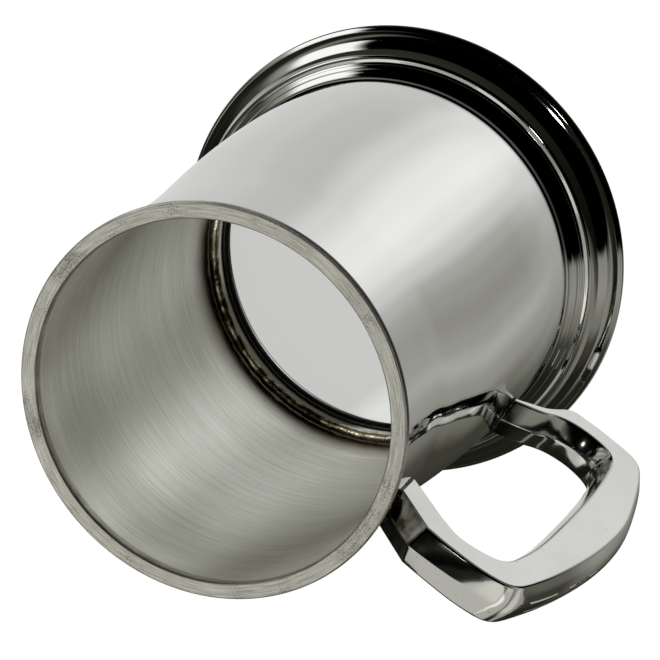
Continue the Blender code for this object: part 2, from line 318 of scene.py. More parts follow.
def bearing(tree, direction):
    """Turn round the axis, from 0 to 1, and rise of a direction."""
    parts = add(tree, "ShaderNodeSeparateXYZ", {"Vector": direction})
    angle = math_node(tree, "ARCTAN2", parts.outputs["Y"], parts.outputs["X"])
    turn = math_node(tree, "FRACT", math_node(tree, "MULTIPLY_ADD", angle, 0.5 / math.pi, 1.0))
    return turn, parts.outputs["Z"]


def from_axis(tree, position):
    """Vector from the foot of the tankard's axis to a position."""
    return add(tree, "ShaderNodeVectorMath", {0: position, 1: AXIS}, operation="SUBTRACT").outputs["Vector"]


def turn_about_axis(tree):
    """Turn of the shaded point round the tankard's axis, from 0 to 1."""
    place = add(tree, "ShaderNodeTexCoord")
    return bearing(tree, from_axis(tree, place.outputs["Object"]))[0]


def radius_of_point(tree):
    """Distance of the shaded point from the tankard's axis."""
    place = add(tree, "ShaderNodeTexCoord")
    links = {0: from_axis(tree, place.outputs["Object"]), 1: (1.0, 1.0, 0.0)}
    level = add(tree, "ShaderNodeVectorMath", links, operation="MULTIPLY").outputs["Vector"]
    return add(tree, "ShaderNodeVectorMath", {0: level}, operation="LENGTH").outputs["Value"]


def height_of_point(tree):
    """Height of the shaded point over the ground."""
    place = add(tree, "ShaderNodeTexCoord")
    return add(tree, "ShaderNodeSeparateXYZ", {0: place.outputs["Object"]}).outputs["Z"]


def polished_pewter(name, wave, corner=NO_HEIGHT):
    """Mirror polish: faint smears, hairline scratches and the slow waviness of a buffed skin.

    Painted shade blackens the corner that starts at a height, on part of the way round.
    """
    made, tree, shader = start_material(name)
    smear = stretched_noise(tree, (1.0, 1.0, 0.35), 4.0, 70.0)
    hairline = stretched_noise(tree, (1.0, 1.0, 14.0), 2.0, 900.0)
    waviness = stretched_noise(tree, (1.0, 1.0, 1.0), 1.0, 90.0)
    surface_tone = mix(tree, levels(tree, smear, 0.35, 0.7, 0.0, 1.0), (0.82, 0.82, 0.81), (0.80, 0.797, 0.785))
    in_corner = levels(tree, height_of_point(tree), corner, corner + CORNER_FADE, 0.0, 1.0)
    # painted shade: the foot's corner by the barrel turns black on part of the way round
    dark_share = math_node(tree, "MULTIPLY", in_corner, ramp_round(tree, turn_about_axis(tree), CORNER_SHADE_SHARES))
    tree.links.new(mix(tree, dark_share, surface_tone, PAINTED_SHADE_BLACK), shader.inputs["Base Color"])
    buffed = levels(tree, smear, 0.35, 0.75, 0.03, 0.07)
    gloss = math_node(tree, "ADD", buffed, levels(tree, hairline, 0.62, 0.75, 0.0, 0.10))
    tree.links.new(gloss, shader.inputs["Roughness"])
    shader.inputs["Metallic"].default_value = 1.0
    relief(tree, shader, waviness, wave)
    return made


def cast_pewter():
    """The handle's buffed casting: greyer and pitted, with painted dark reflection on its faceted sides by
    its roots, not on its flat sides.
    """
    made, tree, shader = start_material("cast_pewter_buffed")
    smear = stretched_noise(tree, (1.0, 1.0, 1.0), 4.0, 80.0)
    pit = stretched_noise(tree, (1.0, 1.0, 1.0), 2.0, 1300.0)
    waviness = stretched_noise(tree, (1.0, 1.0, 1.0), 1.0, 120.0)
    surface_tone = mix(tree, levels(tree, smear, 0.35, 0.7, 0.0, 1.0), (0.63, 0.63, 0.61), (0.59, 0.587, 0.56))
    spotted = mix(tree, levels(tree, pit, 0.71, 0.76, 0.0, 0.8), surface_tone, (0.12, 0.11, 0.09))
    surface = add(tree, "ShaderNodeNewGeometry")
    facing_y = add(tree, "ShaderNodeSeparateXYZ", {0: surface.outputs["True Normal"]}).outputs["Y"]
    off_side = levels(tree, math_node(tree, "ABSOLUTE", facing_y), 0.86, 0.94, 1.0, 0.0)
    place_x = add(tree, "ShaderNodeSeparateXYZ", {0: surface.outputs["Position"]}).outputs["X"]
    by_wall = levels(tree, place_x, *ROOT_DARK_REFLECTION_REACH, 1.0, 0.0)
    blotch = levels(tree, stretched_noise(tree, (1.0, 1.0, 1.0), 2.0, 260.0), 0.40, 0.62, 0.70, 1.0)
    # painted dark reflection: the faceted sides darken near the roots while the flat sides stay bright
    root_dark_reflection = math_node(tree, "MULTIPLY", math_node(tree, "MULTIPLY", off_side, by_wall), blotch)
    tree.links.new(mix(tree, root_dark_reflection, spotted, (0.035, 0.032, 0.016)), shader.inputs["Base Color"])
    tree.links.new(levels(tree, smear, 0.35, 0.75, 0.09, 0.13), shader.inputs["Roughness"])
    shader.inputs["Metallic"].default_value = 1.0
    relief(tree, shader, waviness, 0.010 * MM)
    return made


def satin_pewter():
    """Bore of the barrel: fine marks round the bore from the finishing lathe, and darker towards the solder
    at the bottom.
    """
    made, tree, shader = start_material("satin_pewter_turned")
    fine = stretched_noise(tree, (1.0, 1.0, 34.0), 3.0, 120.0)
    long_marks = stretched_noise(tree, (1.0, 1.0, 70.0), 2.0, 35.0)
    patch = stretched_noise(tree, (1.0, 1.0, 1.0), 2.0, 40.0)
    marks = math_node(tree, "ADD", fine, long_marks)
    surface_tone = mix(tree, levels(tree, marks, 0.8, 1.2, 0.0, 1.0), (0.68, 0.675, 0.575), (0.86, 0.855, 0.80))
    # darker towards the bottom of the bore
    darker_low = levels(tree, height_of_point(tree), *LOW_BORE_DARKENING, 1.0, 0.0)
    tree.links.new(mix(tree, darker_low, surface_tone, (0.16, 0.13, 0.08)), shader.inputs["Base Color"])
    tree.links.new(levels(tree, patch, 0.3, 0.7, 0.35, 0.40), shader.inputs["Roughness"])
    shader.inputs["Metallic"].default_value = 1.0
    shader.inputs["Anisotropic"].default_value = 0.45
    shader.inputs["Anisotropic Rotation"].default_value = 0.25
    direction = add(tree, "ShaderNodeTangent", direction_type="RADIAL", axis="Z")
    tree.links.new(direction.outputs["Tangent"], shader.inputs["Tangent"])
    relief(tree, shader, marks, 0.007 * MM)
    return made


def worn_pewter():
    """Band round the mouth: dull, scratched along its round, dirty in its pits, darker along its bore edge,
    and painted black as shade under one side.
    """
    made, tree, shader = start_material("worn_pewter_handled")
    patch = stretched_noise(tree, (1.0, 1.0, 1.0), 4.0, 130.0)
    speck = stretched_noise(tree, (1.0, 1.0, 1.0), 3.0, 2400.0)
    radius = radius_of_point(tree)
    turn = turn_about_axis(tree)
    unrolled = add(tree, "ShaderNodeCombineXYZ", {
        "X": math_node(tree, "MULTIPLY", radius, SCRATCHES_ACROSS),
        "Y": math_node(tree, "MULTIPLY", turn, SCRATCHES_ROUND),
    })
    links = {"Vector": unrolled.outputs["Vector"], "Scale": 1.0, "Detail": 3.0, "Roughness": 0.65}
    scratch = add(tree, "ShaderNodeTexNoise", links).outputs["Fac"]
    pits = levels(tree, math_node(tree, "ADD", patch, speck), 1.06, 1.26, 0.0, 0.6)
    # darker along the bore edge, besides the dirt in the pits
    dark_share = math_node(tree, "MAXIMUM", pits, levels(tree, radius, *BORE_EDGE_DARKENING, 0.5, 0.0))
    beneath = levels(tree, height_of_point(tree), *RIM_SIDE_SHADE_HEIGHTS, 1.0, 0.0)
    outside = math_node(tree, "GREATER_THAN", radius, RIM_SIDE)
    side = math_node(tree, "MULTIPLY", beneath, outside)
    # painted shade: the band's outer side turns black under its top, on part of the way round
    rim_side_shade = math_node(tree, "MULTIPLY", side, ramp_round(tree, turn, RIM_SIDE_SHADE_SHARES))
    surface_tone = mix(tree, levels(tree, scratch, 0.35, 0.65, 0.0, 1.0), (0.52, 0.51, 0.45), (1.0, 0.99, 0.93))
    darkened = mix(tree, dark_share, surface_tone, (0.12, 0.10, 0.07))
    tree.links.new(mix(tree, rim_side_shade, darkened, PAINTED_SHADE_BLACK), shader.inputs["Base Color"])
    tree.links.new(levels(tree, patch, 0.3, 0.7, 0.34, 0.46), shader.inputs["Roughness"])
    shader.inputs["Metallic"].default_value = 1.0
    relief(tree, shader, math_node(tree, "ADD", speck, scratch), 0.008 * MM)
    return made


def rough_solder(name, lighter_round=FAINT_EVEN_SHARE):
    """Solder as it ran, blackened by the flame; a share round the axis gives how much lighter tone it takes,
    as painted highlights on the base bead and a faint even share elsewhere.
    """
    made, tree, shader = start_material(name)
    patch = stretched_noise(tree, (1.0, 1.0, 1.0), 4.0, 260.0)
    grain = stretched_noise(tree, (1.0, 1.0, 1.0), 3.0, 1400.0)
    ran = mix(tree, levels(tree, patch, 0.50, 0.72, 0.0, 1.0), (0.016, 0.013, 0.007), (0.30, 0.26, 0.17))
    surface_tone = mix(tree, levels(tree, patch, 0.35, 0.60, 0.0, 1.0), (0.45, 0.39, 0.26), (0.95, 0.90, 0.74))
    # painted highlights: a share round the axis turns the solder to a lighter tone
    share = ramp_round(tree, turn_about_axis(tree), lighter_round)
    tree.links.new(mix(tree, share, ran, surface_tone), shader.inputs["Base Color"])
    tree.links.new(levels(tree, grain, 0.3, 0.7, 0.18, 0.5), shader.inputs["Roughness"])
    shader.inputs["Metallic"].default_value = 1.0
    relief(tree, shader, math_node(tree, "ADD", patch, grain), 0.08 * MM)
    return made


def spun_pewter():
    """Seat collar of the glass: ringed by the tool, dark but for two stretches of painted highlight, and
    painted black as shade by the seal.
    """
    made, tree, shader = start_material("spun_pewter_ringed")
    rings = stretched_noise(tree, (1.0, 1.0, 30.0), 2.0, 60.0)
    patch = stretched_noise(tree, (1.0, 1.0, 1.0), 3.0, 90.0)
    dull = mix(tree, levels(tree, patch, 0.35, 0.65, 0.0, 1.0), (0.06, 0.055, 0.03), (0.13, 0.12, 0.07))
    # painted highlights: two stretches round the axis turn light
    surface_tone = mix(tree, ramp_round(tree, turn_about_axis(tree), COLLAR_HIGHLIGHT_SHARES), dull, (0.95, 0.93, 0.84))
    # painted shade: the collar turns black near the seal
    seal_shade = levels(tree, height_of_point(tree), *SEAL_SHADE_HEIGHTS, 1.0, 0.0)
    tree.links.new(mix(tree, seal_shade, surface_tone, (0.003, 0.003, 0.002)), shader.inputs["Base Color"])
    tree.links.new(levels(tree, patch, 0.3, 0.7, 0.34, 0.42), shader.inputs["Roughness"])
    shader.inputs["Metallic"].default_value = 1.0
    relief(tree, shader, rings, 0.010 * MM)
    return made


def black_rubber():
    made, tree, shader = start_material("black_rubber_moulded")
    grain = stretched_noise(tree, (1.0, 1.0, 1.0), 3.0, 1600.0)
    shader.inputs["Base Color"].default_value = (0.006, 0.006, 0.006, 1.0)
    tree.links.new(levels(tree, grain, 0.3, 0.7, 0.4, 0.6), shader.inputs["Roughness"])
    relief(tree, shader, grain, 0.04 * MM)
    return made


def clear_glass():
    """Clear glass that lets light straight through, with a faint wipe mark on it."""
    made, tree, shader = start_material("clear_glass_disc")
    smear = stretched_noise(tree, (1.0, 3.0, 1.0), 3.0, 40.0)
    shader.inputs["Base Color"].default_value = (0.97, 0.985, 0.98, 1.0)
    shader.inputs["Transmission Weight"].default_value = 1.0
    shader.inputs["IOR"].default_value = 1.5
    tree.links.new(levels(tree, smear, 0.45, 0.8, 0.0, 0.03), shader.inputs["Roughness"])
    return made


POLISHED = polished_pewter("polished_pewter_buffed", 0.004 * MM)
FOOT_POLISH = polished_pewter("polished_pewter_foot", 0.001 * MM, FOOT_CORNER)
CAST = cast_pewter()
SATIN = satin_pewter()
WORN = worn_pewter()
SOLDER = rough_solder("rough_solder_run")
BASE_SOLDER = rough_solder("rough_solder_base", BEAD_HIGHLIGHT_SHARES)
SPUN = spun_pewter()
RUBBER = black_rubber()
GLASS = clear_glass()


# ---------------------------------------------------------------- turned pieces

def make_barrel_wall():
    """Mirror outside, satin inside; the top is carried up into the rim band."""
    outline = [
        Vector((p.x, rim_low.z + OVERLAP)) if p.y > rim_low.z - 0.5 * MM else p
        for p in cad_profile("barrel")
    ]
    fine = refine(outline, 1.0 * MM)
    piece = turned_piece(
        "barrel_wall", fine, (POLISHED, SATIN), pick=lambda a, b: 1 if b.y > a.y + 0.01 * MM else 0
    )
    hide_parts("barrel")
    return piece


def make_rim_lip():
    piece = turned_piece("rim_lip", refine(cad_profile("rim_band"), 0.2 * MM), (WORN,))
    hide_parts("rim_band")
    return piece


def wall_radius(height, outline=cad_profile("barrel")):
    """Outer radius of the barrel at a height."""
    outer = [a for a, b in zip(outline, outline[1:] + outline[:1]) if b.y < a.y]
    for high, low in zip(outer, outer[1:]):
        if high.y >= height >= low.y:
            return low.x + (high.x - low.x) * (height - low.y) / (high.y - low.y)
    return outer[-1].x


def make_foot_flare():
    """The bore is closed in to the barrel, as the real one is soldered tight on it.

    The foot is left out of mirror images.
    """
    outline = cad_profile("foot")
    bore = min(p.x for p in outline)
    closed = []
    for p in outline:
        on_bore = p.x < bore + 0.05 * MM
        closed.append(Vector((wall_radius(p.y) - OVERLAP, p.y)) if on_bore else p)
    piece = turned_piece("foot_flare", refine(closed, 0.3 * MM), (FOOT_POLISH,))
    piece.visible_glossy = False
    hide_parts("foot")
    return piece


def make_seat_collar_ring():
    """The collar is left out of what is seen through the glass."""
    piece = turned_piece("seat_collar_ring", refine(cad_profile("seat_collar"), 0.5 * MM), (SPUN,))
    piece.visible_transmission = False
    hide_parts("seat_collar")
    return piece


def make_seal_ring():
    piece = turned_piece("seal_ring", refine(cad_profile("glass_seal"), 0.4 * MM, edge=0.2 * MM), (RUBBER,))
    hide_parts("glass_seal")
    return piece


def make_glass_bottom():
    """Flat disc with its edge ground off, closed at the axis by a fan of faces."""
    low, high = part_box("glass_disc")
    radius = 0.5 * (high.x - low.x)
    ground = 0.3 * MM
    side = [
        (0.0, high.z), (0.5 * radius, high.z), (radius - ground, high.z), (radius, high.z - ground),
        (radius, low.z + ground), (radius - ground, low.z), (0.5 * radius, low.z), (0.0, low.z),
    ]
    shape = bmesh.new()
    top = shape.verts.new((AXIS_X, 0.0, side[0][1]))
    bottom = shape.verts.new((AXIS_X, 0.0, side[-1][1]))
    columns = []
    for j in range(AROUND):
        angle = 2 * math.pi * j / AROUND
        column = [
            shape.verts.new((AXIS_X + r * math.cos(angle), r * math.sin(angle), z)) for r, z in side[1:-1]
        ]
        columns.append(column)
    for here, there in zip(columns, columns[1:] + columns[:1]):
        shape.faces.new((top, here[0], there[0]))
        shape.faces.new((bottom, there[-1], here[-1]))
        for i in range(len(here) - 1):
            shape.faces.new((here[i], here[i + 1], there[i + 1], there[i]))
    bmesh.ops.recalc_face_normals(shape, faces=shape.faces)
    piece = as_piece("glass_bottom", shape, (GLASS,))
    piece.data.set_sharp_from_angle(angle=math.radians(20))
    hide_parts("glass_disc")
    return piece


def lumpy(point, size, depth):
    """Offset of a point on a hand-run bead of solder."""
    return noise.fractal(point / size, 0.8, 2.0, 3, noise_basis="PERLIN_ORIGINAL") * depth


def make_solder_bead(name, node, size, depth, finish):
    """Ring of solder that thickens and thins as it was run in by hand."""
    low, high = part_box(node)
    tube = 0.5 * (high.z - low.z)
    middle = Vector((0.5 * (high.x - low.x) - tube, 0.5 * (low.z + high.z)))
    shape = bmesh.new()
    rings = []
    for j in range(BEAD_AROUND):
        angle = 2 * math.pi * j / BEAD_AROUND
        ring = []
        for i in range(BEAD_CUTS):
            turn = 2 * math.pi * i / BEAD_CUTS
            radius = middle.x + tube * math.cos(turn)
            height = middle.y + tube * math.sin(turn)
            point = Vector((radius * math.cos(angle), radius * math.sin(angle), height))
            squeeze = 1.0 - abs(lumpy(point, size, depth))
            radius = middle.x + tube * squeeze * math.cos(turn)
            height = middle.y + tube * squeeze * math.sin(turn)
            place = (AXIS_X + radius * math.cos(angle), radius * math.sin(angle), height)
            ring.append(shape.verts.new(place))
        rings.append(ring)
    for here, there in zip(rings, rings[1:] + rings[:1]):
        for i in range(BEAD_CUTS):
            k = (i + 1) % BEAD_CUTS
            shape.faces.new((here[i], there[i], there[k], here[k]))
    bmesh.ops.recalc_face_normals(shape, faces=shape.faces)
    piece = as_piece(name, shape, (finish,))
    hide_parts(node)
    return piece


# ---------------------------------------------------------------- cast handle

SIDE_EDGE = 0.55 * MM    # rounding between the handle's flat sides and its faceted outer and inner sides
CREST_EDGE = 0.30 * MM   # rounding along the crests
RUN_CUTS = 4             # cuts between two sections of the CAD handle
EDGE_CUTS = 4
KINK = 20.0              # degrees; a run that turns by more than this at a section stays sharp there
SIDE_CORNERS = (0, 4, 5, 9)   # places in a section, counted from its outer +Y edge
CRESTS = (2, 7)
UPPER_ROOT = 90.0 * MM   # the upper root's end lies over this height
ROOT_AROUND = 160        # segments of the solder round a root
ROOT_CUTS = 6
ROOT_SPREAD = 1.0 * MM   # reach of the root solder over the wall
ROOT_CLIMB = 0.75 * MM   # and along the handle
ROOT_BURIED = 0.3 * MM   # how deep its hidden side lies
WANDER_SIZE = 1.6 * MM   # its slow unevenness
RIPPLE_SIZE = 0.7 * MM   # and its quick one
RIPPLE_SHIFT = Vector((0.0, 0.0, 0.1))     # takes the quick one from another part of the noise


def merged_cad_mesh(node):
    shape = bmesh.new()
    shape.from_mesh(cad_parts[node].data)
    bmesh.ops.remove_doubles(shape, verts=shape.verts, dist=0.002 * MM)
    return shape


def cad_handle_sections():
    """The rings of points the CAD handle is lofted through, from the upper root to the lower one."""
    shape = merged_cad_mesh("handle")
    inmost = min(v.co.x for v in shape.verts)
    layer = {v for v in shape.verts if v.co.x < inmost + 0.05 * MM and v.co.z > UPPER_ROOT}
    seen = set()
    sections = []
    while layer:
        seen |= layer
        sections.append([v.co.copy() for v in layer])
        layer = {e.other_vert(v) for v in layer for e in v.link_edges} - seen
    shape.free()
    middles = [sum(ring, Vector()) / len(ring) for ring in sections]
    for i, ring in enumerate(sections):
        run = middles[min(i + 1, len(middles) - 1)] - middles[max(i - 1, 0)]
        outward = Vector((-run.z, 0.0, run.x)).normalized()
        ring.sort(key=lambda p: around_section(p - middles[i], outward))
    return sections


def around_section(offset, outward):
    """Angle round a section, counted from its +Y side towards its outer side."""
    return math.atan2(offset.dot(outward), offset.y) % (2 * math.pi)


def round_section(section):
    """A CAD section with its side edges and crests rounded; a crest that runs on smoothly is rounded more."""
    fine = []
    count = len(section)
    for i, corner in enumerate(section):
        before, after = section[i - 1], section[(i + 1) % count]
        reach = 0.5 * min((corner - before).length, (after - corner).length)
        if i in SIDE_CORNERS:
            size = SIDE_EDGE
        elif i in CRESTS:
            slope = turn_at(section[i - 2], before, corner)
            softness = min(1.0, slope / (0.8 * max(turn_at(before, corner, after), 0.1)))
            size = CREST_EDGE + (reach - CREST_EDGE) * softness
        else:
            size = reach
        start = corner + (before - corner).normalized() * size
        end = corner + (after - corner).normalized() * size
        for cut in range(EDGE_CUTS + 1):
            t = cut / EDGE_CUTS
            fine.append(start * (1 - t) ** 2 + corner * 2 * t * (1 - t) + end * t * t)
    return fine


def on_wall(point, depth=0.3 * MM):
    """The point moved along X into the barrel's wall."""
    radius = wall_radius(point.z) - depth
    return Vector((AXIS_X + math.sqrt(radius * radius - point.y * point.y), point.y, point.z))


def handle_run():
    """Fine sections of the handle from wall to wall."""
    coarse = [round_section(section) for section in cad_handle_sections()]
    middles = [sum(ring, Vector()) / len(ring) for ring in coarse]
    last = len(coarse) - 1
    kinked = [
        0 < i < last and turn_at(middles[i - 1], middles[i], middles[i + 1]) > KINK for i in range(last + 1)
    ]
    run = [[on_wall(p) for p in coarse[0]]]
    for i in range(last):
        lines = []
        for j in range(len(coarse[0])):
            before = None if i == 0 or kinked[i] else coarse[i - 1][j]
            after = None if i + 1 == last or kinked[i + 1] else coarse[i + 2][j]
            lines.append(curve_between(before, coarse[i][j], coarse[i + 1][j], after, RUN_CUTS))
        run += [list(ring) for ring in zip(*lines)]
    run.append(coarse[last])
    run.append([on_wall(p) for p in coarse[last]])
    return run


def loft(name, rings, finish):
    shape = bmesh.new()
    levels_of = [[shape.verts.new(point) for point in ring] for ring in rings]
    count = len(rings[0])
    for lower, upper in zip(levels_of, levels_of[1:]):
        for i in range(count):
            j = (i + 1) % count
            shape.faces.new((lower[i], lower[j], upper[j], upper[i]))
    shape.faces.new(list(reversed(levels_of[0])))
    shape.faces.new(levels_of[-1])
    bmesh.ops.recalc_face_normals(shape, faces=shape.faces)
    return as_piece(name, shape, (finish,))


def make_cast_handle(run):
    piece = loft("cast_handle", run, CAST)
    even = piece.modifiers.new("even shading", "WEIGHTED_NORMAL")
    even.weight = 60
    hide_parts("handle")
    return piece


def make_root_bead(name, node, root, above):
    """Solder run round a root of the handle: from the wall, over a lumpy hollow, on to the handle."""
    middle = sum(root, Vector()) / len(root)
    lift = (sum(above, Vector()) / len(above) - middle).normalized()
    shape = bmesh.new()
    rings = []
    count = ROOT_AROUND
    for j in range(count):
        place = j * len(root) / count
        i = int(place)
        corner = root[i].lerp(root[(i + 1) % len(root)], place - i)
        out = corner - middle
        out.x = 0.0
        out.normalize()
        wander = lumpy(corner, WANDER_SIZE, 1.0)
        ripple = lumpy(corner + RIPPLE_SHIFT, RIPPLE_SIZE, 1.0)
        wall = on_wall(corner + out * (ROOT_SPREAD + (0.55 * wander + 0.25 * ripple) * MM), OVERLAP)
        skin = corner + lift * (ROOT_CLIMB + (0.45 * wander - 0.25 * ripple) * MM) + out * 0.03 * MM
        knee = corner + (out * 0.35 + lift * 0.30) * (1.0 + 0.6 * ripple) * MM
        ring = []
        for cut in range(ROOT_CUTS + 1):
            t = cut / ROOT_CUTS
            ring.append(wall * (1 - t) ** 2 + knee * 2 * t * (1 - t) + skin * t * t)
        ring.append(corner + (lift - out) * ROOT_BURIED)
        ring.append(on_wall(corner - out * ROOT_BURIED, ROOT_BURIED))
        rings.append([shape.verts.new(point) for point in ring])
    for here, there in zip(rings, rings[1:] + rings[:1]):
        for i in range(len(here)):
            k = (i + 1) % len(here)
            shape.faces.new((here[i], there[i], there[k], here[k]))
    bmesh.ops.recalc_face_normals(shape, faces=shape.faces)
    piece = as_piece(name, shape, (SOLDER,))
    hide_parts(node)
    return piece


# ---------------------------------------------------------------- studio

FLOOR_SIZE = 3.0         # half the floor's side
FLOOR_DROP = 0.2 * MM    # the floor lies this far under the foot
SEEN_BY_CAMERA = 1.02    # brightness of the floor and the backdrop in the picture
SEEN_THROUGH_GLASS = (0.63, 0.80)          # painted shade under the tankard, and painted light beyond the edge of a lit wedge, on the floor seen through the glass
LIT_WEDGE_TURN = math.radians(-15.6)
LIT_WEDGE_EDGE = (22.0 * MM, 27.0 * MM)        # from the axis, along the wedge's turn
AT_FOOT_REACH = (15.5 * MM, 18.5 * MM)     # a mirrored ray shorter than this sees the floor at the foot
ABOVE_FOOT = (18.0 * MM, 23.0 * MM)        # a mirrored ray that starts higher than this comes from the walls
FAR_RISE = (-0.40, -0.34)                  # and sees the far floor, if it comes in as low as this
CARD_COLOUR = (1.0, 0.99, 0.94)

# How bright the surroundings are, as the polished metal mirrors them, on rings from straight down to
# straight up. Each stop is degrees round the axis from +X, and light. These stops, up to BORE_LIGHT, are
# not a design: they are rounded from, or corrected by, brightness that another program measured on the
# reference picture.
NADIR_LIGHT = (
    (0, 0.40), (30, 0.48), (60, 0.72), (88, 0.93), (120, 0.82), (150, 0.63), (200, 0.62), (262, 0.72),
    (268, 0.08), (325, 0.35),
)
STEEP_LIGHT = (
    (0, 0.44), (12, 0.36), (26, 0.31), (40, 0.36), (50, 0.45), (60, 0.67), (72, 0.90), (86, 1.00),
    (98, 0.95), (120, 0.75), (140, 0.58), (158, 0.59), (180, 0.64), (210, 0.67), (260, 0.73),
    (267, 0.03), (305, 0.05), (325, 0.17), (345, 0.32),
)
LOW_LIGHT = (
    (0, 0.16), (16, 0.15), (27, 0.0), (148, 0.0), (166, 0.45), (178, 0.30), (190, 0.06), (205, 0.20),
    (222, 0.03), (310, 0.02), (345, 0.06),
)
LEVEL_LIGHT = (
    (0, 0.20), (12, 0.30), (23, 0.27), (27, 0.0), (152, 0.0), (158, 1.15), (174, 1.15), (181, 0.30),
    (192, 0.05), (204, 0.01), (340, 0.015), (352, 0.05),
)
HIGH_LIGHT = (
    (0, 0.26), (14, 0.18), (26, 0.0), (160, 0.0), (180, 0.20), (196, 0.02), (228, 0.01), (242, 0.30),
    (256, 0.30), (266, 0.01), (318, 0.02), (345, 0.22),
)
ZENITH_LIGHT = ((0, 0.02), (40, 0.0), (180, 0.0), (290, 0.01))
AT_FOOT_LIGHT = (
    (0, 0.20), (14, 0.06), (26, 0.005), (180, 0.03), (194, 0.35), (204, 0.50), (216, 0.04), (310, 0.03),
    (345, 0.20),
)
FAR_FLOOR_LIGHT = (      # out on the floor, where the walls mirror it and the foot does not
    (0, 0.36), (30, 0.48), (60, 0.30), (100, 0.42), (140, 0.66), (200, 0.60), (220, 0.35), (235, 0.04),
    (314, 0.02), (327, 0.42), (342, 0.38),
)
BORE_LIGHT = (           # what the satin bore mirrors, through the glass
    (0, 0.62), (14, 0.50), (28, 0.34), (50, 0.45), (66, 0.75), (84, 1.00), (98, 0.92), (122, 0.55),
    (146, 0.88), (168, 0.50), (196, 0.50), (215, 0.30), (245, 0.12), (290, 0.26), (335, 0.42), (352, 0.50),
)
BARREL_CARDS = ((325, 0.40), (20, 0.42), (75, 0.34), (130, 0.50), (185, 0.45))     # azimuth, light
RINGS = (                # each ring gives way to the next between two rises, the sines of slopes
    (NADIR_LIGHT, (-0.96, -0.885)),
    (STEEP_LIGHT, (-0.81, -0.74)),
    (LOW_LIGHT, (-0.52, -0.40)),
    (LEVEL_LIGHT, (0.50, 0.57)),
    (HIGH_LIGHT, (0.88, 0.95)),
    (ZENITH_LIGHT, None),
)


def surroundings(tree, direction):
    """Light that comes along a direction, blended from the rings."""
    turn, rise = bearing(tree, direction)
    light = ramp_round(tree, turn, RINGS[0][0])
    for (_, change), (stops, _) in zip(RINGS, RINGS[1:]):
        light = mix(tree, levels(tree, rise, *change, 0.0, 1.0), light, ramp_round(tree, turn, stops))
    return light


def emission(tree, colour, strength=1.0):
    return add(tree, "ShaderNodeEmission", {"Color": colour, "Strength": strength}).outputs["Emission"]


def choose(tree, share, first, second):
    """First shader where share is 0, second where it is 1."""
    return add(tree, "ShaderNodeMixShader", {0: share, 1: first, 2: second}).outputs["Shader"]


def make_floor():
    """Plain white floor. Metal sees it as the unevenly lit studio, and dark right at the foot."""
    shape = bmesh.new()
    bmesh.ops.create_grid(shape, x_segments=8, y_segments=8, size=FLOOR_SIZE)
    mesh = bpy.data.meshes.new("floor")
    shape.to_mesh(mesh)
    shape.free()
    floor = bpy.data.objects.new("floor", mesh)
    floor.location = (AXIS_X, 0.0, -FLOOR_DROP)
    bpy.context.scene.collection.objects.link(floor)
    made = bpy.data.materials.new("floor_white")
    made.use_nodes = True
    made.cycles.emission_sampling = "NONE"
    tree = made.node_tree
    tree.nodes.clear()
    place = add(tree, "ShaderNodeNewGeometry")
    away = add(tree, "ShaderNodeVectorMath", {0: place.outputs["Incoming"]}, operation="SCALE")
    away.inputs["Scale"].default_value = -1.0
    ray = add(tree, "ShaderNodeLightPath")
    direction = away.outputs["Vector"]
    turn, rise = bearing(tree, direction)
    beyond = levels(tree, ray.outputs["Ray Length"], *AT_FOOT_REACH, 0.0, 1.0)
    through = math_node(tree, "GREATER_THAN", ray.outputs["Transmission Depth"], 0.5)
    straight = math_node(tree, "LESS_THAN", ray.outputs["Glossy Depth"], 0.5)
    at_foot = ramp_round(tree, turn, AT_FOOT_LIGHT)
    outside = mix(tree, beyond, at_foot, surroundings(tree, direction))
    start = math_node(tree, "MULTIPLY", ray.outputs["Ray Length"], math_node(tree, "ABSOLUTE", rise))
    from_wall = levels(tree, start, *ABOVE_FOOT, 0.0, 1.0)
    distant = math_node(tree, "MULTIPLY", from_wall, levels(tree, rise, *FAR_RISE, 0.0, 1.0))
    outside = mix(tree, distant, outside, ramp_round(tree, turn, FAR_FLOOR_LIGHT))
    mirrored = emission(tree, mix(tree, through, outside, ramp_round(tree, turn, BORE_LIGHT)))
    across = Vector((math.cos(LIT_WEDGE_TURN), math.sin(LIT_WEDGE_TURN), 0.0))
    links = {0: from_axis(tree, place.outputs["Position"]), 1: across}
    along = add(tree, "ShaderNodeVectorMath", links, operation="DOT_PRODUCT")
    # painted shade under the tankard and a painted lit wedge, as the floor is seen through the glass
    beneath = levels(tree, along.outputs["Value"], *LIT_WEDGE_EDGE, *SEEN_THROUGH_GLASS)
    plain = emission(tree, (1.0, 1.0, 0.975, 1.0), beneath)
    seen = emission(tree, (1.0, 1.0, 1.0, 1.0), SEEN_BY_CAMERA)
    shader = choose(tree, math_node(tree, "MULTIPLY", through, straight), mirrored, plain)
    shader = choose(tree, ray.outputs["Is Camera Ray"], shader, seen)
    add(tree, "ShaderNodeOutputMaterial", {"Surface": shader})
    mesh.materials.append(made)


def make_world():
    world = bpy.data.worlds.new("studio")
    world.use_nodes = True
    bpy.context.scene.world = world
    tree = world.node_tree
    tree.nodes.clear()
    place = add(tree, "ShaderNodeTexCoord")
    ray = add(tree, "ShaderNodeLightPath")
    around = emission(tree, surroundings(tree, place.outputs["Generated"]))
    backdrop = emission(tree, (1.0, 1.0, 1.0, 1.0), SEEN_BY_CAMERA)
    shader = choose(tree, ray.outputs["Is Camera Ray"], around, backdrop)
    add(tree, "ShaderNodeOutputWorld", {"Surface": shader})


